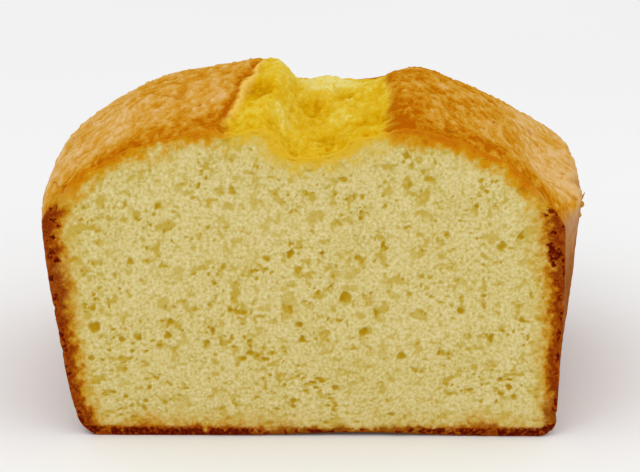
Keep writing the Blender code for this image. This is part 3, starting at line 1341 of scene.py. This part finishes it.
@dataclass
class SheetBuilder:
    """Turns grids of points into mesh pieces, moved so that the outline sits on the solid."""

    shift: Array
    body: str = BODY
    slot: str = SLOT
    margin: float = 0.005  # left free round the edge of each piece's UV map

    def add(
        self, name: str, points: Array, traits: dict[Trait, Array], material: bpy.types.Material, flip: bool
    ) -> None:
        """Make one piece from a grid.

        Args:
            name: the piece's name.
            points: rows by columns by 3, in millimetres.
            traits: values for the points, each rows by columns in one run.
            material: its finish.
            flip: turns the faces over.
        """
        rows, columns = points.shape[:2]
        mesh = bpy.data.meshes.new(name)
        mesh.vertices.add(rows * columns)
        mesh.vertices.foreach_set("co", ((points.reshape(-1, 3) + self.shift) * MM).ravel())
        number = np.arange(rows * columns).reshape(rows, columns)
        corners = [number[:-1, :-1], number[:-1, 1:], number[1:, 1:], number[1:, :-1]]
        quads = np.stack([c.ravel() for c in (corners[::-1] if flip else corners)], axis=1)
        mesh.loops.add(quads.size)
        mesh.loops.foreach_set("vertex_index", quads.ravel())
        mesh.polygons.add(len(quads))
        mesh.polygons.foreach_set("loop_start", np.arange(len(quads)) * 4)
        mesh.polygons.foreach_set("use_smooth", np.ones(len(quads), bool))
        mesh.update(calc_edges=True)
        low, high = self.margin, 1.0 - self.margin
        across, up = np.meshgrid(np.linspace(low, high, columns), np.linspace(low, high, rows))
        places = np.stack([across.ravel(), up.ravel()], axis=1)[quads.ravel()]
        mesh.uv_layers.new(name="OFBake").data.foreach_set("uv", places.ravel())
        for trait, values in traits.items():
            kept = mesh.attributes.new(trait.value, "FLOAT", "POINT")
            kept.data.foreach_set("value", values.astype(np.float32))
        mesh.validate()
        self.keep(name, mesh, material)

    def keep(self, name: str, mesh: bpy.types.Mesh, material: bpy.types.Material) -> None:
        """Make a piece of a mesh, riding on the body and standing for the solid.

        Args:
            name: the piece's name.
            mesh: its mesh, in metres.
            material: its finish.
        """
        mesh.materials.append(material)
        piece = bpy.data.objects.new(name, mesh)
        bpy.context.scene.collection.objects.link(piece)
        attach(piece, self.body)
        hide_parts(NODE)
        LOG.info("%s: %d faces", name, len(mesh.polygons))


@dataclass
class PoundCake:
    """The whole loaf, made of surfaces that share their borders. Counts are grid points."""

    form: LoafForm
    baking: Baking
    crumb: CutCrumb
    builder: SheetBuilder
    skirt_in: float = 1.0
    skirt_back: float = 2.2
    skirt_heart: float = 0.7   # the skirt turns in towards this share of the rim's height
    columns: int = 621
    split_columns: tuple[int, int] = (215, 410)
    cut_rows: int = 306
    row_marks: tuple[float, ...] = (0.0, 0.03, 0.93, 1.0)  # share of the cut's rows spent by each height,
    row_rises: tuple[float, ...] = (0.0, 0.014, 0.984, 1.0)  # so that they crowd at its rounded edge
    crown_rows: int = 320
    crown_crowding: float = 1.3
    wall_grid: tuple[int, int] = (120, 520)
    bottom_grid: tuple[int, int] = (90, 90)

    @property
    def first_along(self) -> float:
        """Where the outside starts, just behind the cut's rounded edge."""
        return self.crumb.edge_round / self.form.length

    def cut(self, side: Side, material: bpy.types.Material) -> None:
        """One half of the cut face, with a strip that turns in under the crust.

        Args:
            side: which half.
            material: its finish.
        """
        across = self.form.even_across(self.columns)
        middle = int(np.argmin(np.abs(across)))
        across = across[: middle + 1] if side is Side.LEFT else across[middle:]
        rows, columns = self.cut_rows, len(across)
        tops = self.form.crown(across, np.zeros_like(across))[:, 2]
        rise = np.interp(np.linspace(0.0, 1.0, rows), self.row_marks, self.row_rises)
        grid_across, grid_rise = np.meshgrid(across, rise)
        grid_top = np.broadcast_to(tops, grid_across.shape)
        flat = self.form.column(
            grid_across.ravel(), np.zeros(rows * columns), grid_rise.ravel(), grid_top.ravel()
        )
        points, traits = self.crumb.surface(flat)
        points = points.reshape(rows, columns, 3)
        open_side = (1, 0) if side is Side.LEFT else (0, 1)
        pads = ((1, 1), open_side)
        traits = {
            trait: np.pad(values.reshape(rows, columns), pads, mode="edge").ravel()
            for trait, values in traits.items()
        }
        padded = np.pad(points, (*pads, (0, 0)), mode="edge")
        hidden = np.ones(padded.shape[:2], bool)
        hidden[1:-1, open_side[0] : padded.shape[1] - open_side[1]] = False
        inward = np.array((0.0, 0.0, self.form.rim_height * self.skirt_heart)) - padded[hidden]
        inward[:, 1] = 0.0
        inward /= np.linalg.norm(inward, axis=1, keepdims=True)
        padded[hidden] += inward * self.skirt_in + np.array((0.0, self.skirt_back, 0.0))
        self.builder.add(f"cut_crumb_{side.name.lower()}", padded, traits, material, False)

    def outside(self, name: str, grid: Array, material: bpy.types.Material, flip: bool) -> None:
        """One stretch of the outside from its smooth grid of points.

        Args:
            name: the piece's name.
            grid: rows by columns by 3, in millimetres.
            material: its finish.
            flip: turns the faces over.
        """
        rows, columns = grid.shape[:2]
        points, traits = self.baking.surface(grid.reshape(-1, 3))
        self.builder.add(name, points.reshape(rows, columns, 3), traits, material, flip)

    def crown(self, material: bpy.types.Material) -> None:
        """The crown in three stretches, its rows crowded towards the cut.

        Args:
            material: its finish.
        """
        share = np.linspace(0.0, 1.0, self.crown_rows) ** self.crown_crowding
        fine = self.form.even_along(FINE_STEPS, self.first_along)
        along = np.interp(share, np.linspace(0.0, 1.0, len(fine)), fine)
        across = self.form.even_across(self.columns)
        marks_at = (0, *self.split_columns, self.columns - 1)
        names = ("crown_crust_left", "crown_split", "crown_crust_right")
        for name, low, high in zip(names, marks_at, marks_at[1:]):
            grid_across, grid_along = np.meshgrid(across[low : high + 1], along)
            grid = self.form.crown(grid_across.ravel(), grid_along.ravel())
            self.outside(name, grid.reshape(*grid_across.shape, 3), material, False)

    def walls(self, material: bpy.types.Material) -> None:
        """The pan sides and the far end, as one strip round the loaf.

        Args:
            material: its finish.
        """
        rows, columns = self.wall_grid
        share = columns // 3
        side = np.linspace(self.first_along, 1.0, share)
        end = np.sin(np.linspace(-1.0, 1.0, columns - 2 * share + 2)[1:-1] * math.pi / 2.0)
        across = np.concatenate([np.full(share, -1.0), end, np.full(share, 1.0)])
        along = np.concatenate([side, np.ones(len(end)), side[::-1]])
        grid_across, grid_rise = np.meshgrid(across, np.linspace(0.0, 1.0, rows))
        grid_along = np.broadcast_to(along, grid_across.shape)
        tops = np.full(grid_across.size, self.form.rim_height)
        grid = self.form.column(grid_across.ravel(), grid_along.ravel(), grid_rise.ravel(), tops)
        self.outside("pan_crust", grid.reshape(rows, columns, 3), material, True)

    def bottom(self, material: bpy.types.Material) -> None:
        """The flat baked bottom.

        Args:
            material: its finish.
        """
        rows, columns = self.bottom_grid
        grid_across, grid_along = np.meshgrid(
            np.linspace(-1.0, 1.0, columns), np.linspace(self.first_along, 1.0, rows)
        )
        zero = np.zeros(rows * columns)
        tops = np.full(rows * columns, self.form.rim_height)
        grid = self.form.column(grid_across.ravel(), grid_along.ravel(), zero, tops)
        self.outside("bottom_crust", grid.reshape(rows, columns, 3), material, True)


@dataclass(frozen=True)
class Crumb:
    """One loose crumb: where it sits on the crown or wall, its half sizes and its lean."""

    across: float
    y: float
    drop: float
    size: tuple[float, float, float]
    lean: float = 0.0


@dataclass
class StuckCrumbs:
    """Loose crumbs left on the crust by the knife and the pan. Sizes in millimetres."""

    form: LoafForm
    baking: Baking
    grain: Grain
    builder: SheetBuilder
    lumps: Ripple = Ripple(0.35, 0.8, 3, 7)
    apart: float = 5.0     # how far one crumb's lumps are read from the next one's
    subdivisions: int = 4
    crumbs: tuple[Crumb, ...] = (
        Crumb(1.0, 26.0, 0.6, (0.22, 0.25, 1.3), 24.0),
        Crumb(1.0, 24.0, 1.5, (0.6, 0.5, 0.7)),
        Crumb(1.0, 27.0, 4.5, (0.5, 0.6, 0.6)),
        Crumb(0.985, 20.0, 0.0, (0.7, 0.8, 0.6)),
        Crumb(-0.80, 9.0, 0.0, (0.55, 0.6, 0.4)),
        Crumb(-0.87, 12.0, 0.0, (0.5, 0.5, 0.4)),
        Crumb(-0.55, 24.0, 0.0, (0.35, 0.3, 0.3)),
        Crumb(0.52, 8.0, 0.0, (0.5, 0.4, 0.35)),
        Crumb(0.66, 31.0, 0.0, (0.35, 0.4, 0.3)),
        Crumb(-0.42, 82.0, 0.0, (0.6, 0.5, 0.4)),
        Crumb(0.4, 70.0, 0.0, (0.5, 0.7, 0.4)),
        Crumb(-1.0, 60.0, 14.0, (0.5, 0.6, 0.5)),
        Crumb(1.0, 78.0, 20.0, (0.6, 0.5, 0.5)),
    )

    def seat(self, crumb: Crumb) -> Array:
        """Where a crumb's middle lies, on the baked surface.

        Args:
            crumb: one loose crumb.

        Returns:
            Its place in millimetres.
        """
        across, along = np.array((crumb.across,)), np.array((crumb.y / self.form.length,))
        if crumb.drop:
            height = self.form.rim_height - np.array((crumb.drop,))
            x, y = self.form.plan(across, along, np.minimum(height, self.form.rim_height))
            place = np.stack([x, y, height], axis=1)
        else:
            place = self.form.crown(across, along)
        return self.baking.surface(place)[0][0]

    def build(self, material: bpy.types.Material) -> None:
        """Make all the crumbs as one piece.

        Args:
            material: the crumbs' finish.
        """
        joined = bmesh.new()
        for number, crumb in enumerate(self.crumbs):
            ball = bmesh.ops.create_icosphere(joined, subdivisions=self.subdivisions, radius=1.0)["verts"]
            unit = np.array([vertex.co[:] for vertex in ball])
            lumps = 1.0 + self.lumps.at(self.grain, unit + self.apart * number)
            shaped = unit * lumps[:, None] * np.array(crumb.size)
            turn = Matrix.Rotation(math.radians(crumb.lean), 3, "Y")
            seat = self.seat(crumb)
            for vertex, place in zip(ball, shaped):
                vertex.co = (turn @ Vector(place) + Vector(seat + self.builder.shift)) * MM
        mesh = bpy.data.meshes.new("stuck_crumbs")
        joined.to_mesh(mesh)
        joined.free()
        mesh.shade_smooth()
        self.builder.keep("stuck_crumbs", mesh, material)


@dataclass(frozen=True)
class Softbox:
    """A square soft lamp that points at the loaf. Lengths in millimetres."""

    name: str
    place: tuple[float, float, float]
    size: float
    watts: float


@dataclass
class Studio:
    """Pale table, soft light and the camera. Lengths in millimetres, angles in degrees."""

    table_half: float = 3000.0
    table_points: int = 9
    daylight: float = 0.96
    lamps: tuple[Softbox, ...] = (
        Softbox("key_softbox", (-200.0, -600.0, 700.0), 500.0, 1.4),
        Softbox("fill_softbox", (500.0, -600.0, 350.0), 500.0, 0.4),
    )
    lamps_aim: tuple[float, float, float] = (0.0, 0.0, 30.0)
    look_at: tuple[float, float, float] = (0.0, 0.0, 44.7)
    distance: float = 650.0
    elevation: float = 15.0
    turn: float = 0.6
    picture_width: float = 135.6
    sensor: float = 36.0

    def table(self) -> None:
        """Lay the table top under the loaf."""
        count = self.table_points
        steps = np.linspace(-self.table_half, self.table_half, count) * MM
        mesh = bpy.data.meshes.new("table_top")
        corners = [(x, y, 0.0) for y in steps for x in steps]
        quads = [
            (r * count + c, r * count + c + 1, (r + 1) * count + c + 1, (r + 1) * count + c)
            for r in range(count - 1)
            for c in range(count - 1)
        ]
        mesh.from_pydata(corners, [], quads)
        mesh.materials.append(TableFinish().make())
        table = bpy.data.objects.new("table_top", mesh)
        bpy.context.scene.collection.objects.link(table)

    def light(self) -> None:
        """Even daylight all round, with a large soft lamp above and to the left of the cut."""
        world = bpy.data.worlds.new("soft_daylight")
        world.use_nodes = True
        background = world.node_tree.nodes["Background"]
        background.inputs["Color"].default_value = linear("#ffffff")
        background.inputs["Strength"].default_value = self.daylight
        bpy.context.scene.world = world
        for softbox in self.lamps:
            lamp = bpy.data.lights.new(softbox.name, "AREA")
            lamp.shape = "SQUARE"
            lamp.size = softbox.size * MM
            lamp.energy = softbox.watts
            holder = bpy.data.objects.new(softbox.name, lamp)
            holder.location = Vector(softbox.place) * MM
            aim = Vector(self.lamps_aim) * MM - holder.location
            holder.rotation_euler = aim.to_track_quat("-Z", "Y").to_euler()
            bpy.context.scene.collection.objects.link(holder)

    def camera(self, shift: Array) -> None:
        """Set the camera before the cut, a little above it and a little to the right.

        Args:
            shift: how far the outline was moved, in millimetres.
        """
        up, aside = math.radians(self.elevation), math.radians(self.turn)
        back = Vector((math.sin(aside) * math.cos(up), -math.cos(aside) * math.cos(up), math.sin(up)))
        target = (Vector(self.look_at) + Vector(shift)) * MM
        data = bpy.data.cameras.new("camera")
        data.sensor_width = self.sensor
        data.lens = self.sensor * self.distance / self.picture_width
        data.clip_start = 0.01
        holder = bpy.data.objects.new("camera", data)
        holder.location = target + back * self.distance * MM
        holder.rotation_euler = (-back).to_track_quat("-Z", "Y").to_euler()
        bpy.context.scene.collection.objects.link(holder)
        bpy.context.scene.camera = holder


def outline_shift(form: LoafForm) -> Array:
    """How far the outline moves so that its box has the solid's middle.

    Args:
        form: the loaf's outline.

    Returns:
        The move in millimetres.
    """
    count = 400     # places tried along each wall
    height = 0.8    # share of the rim's height where they are tried too, since the walls bow out
    low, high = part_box(NODE)
    across = np.tile(np.array((-1.0, 1.0)), count)
    along = np.repeat(np.linspace(0.0, 1.0, count), 2)
    at_rim, _ = form.plan(across, along, np.full_like(along, form.rim_height))
    below, _ = form.plan(across, along, np.full_like(along, form.rim_height * height))
    middle = (min(at_rim.min(), below.min()) + max(at_rim.max(), below.max())) / 2.0
    return np.array(((low.x + high.x) / 2.0 / MM - middle, low.y / MM, low.z / MM))


def main() -> None:
    """Build the loaf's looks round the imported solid."""
    logging.basicConfig(level=logging.INFO, format="%(name)s: %(message)s")
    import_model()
    bpy.context.scene.view_settings.view_transform = "Standard"
    form = LoafForm()
    shift = outline_shift(form)
    LOG.info("outline moved by %s mm", np.round(shift, 2))
    grain = Grain(20)
    baking = Baking(form, grain)
    crumb = CutCrumb(form, grain, baking)
    builder = SheetBuilder(shift)
    cake = PoundCake(form, baking, crumb, builder)
    crumb_material = CrumbFinish().make()
    crust_material = CrustFinish().make()
    for side in Side:
        cake.cut(side, crumb_material)
    cake.crown(crust_material)
    cake.walls(crust_material)
    cake.bottom(crust_material)
    StuckCrumbs(form, baking, grain, builder).build(ToastFinish().make())
    studio = Studio()
    studio.table()
    studio.light()
    studio.camera(shift)


if __name__ == "__main__":
    main()
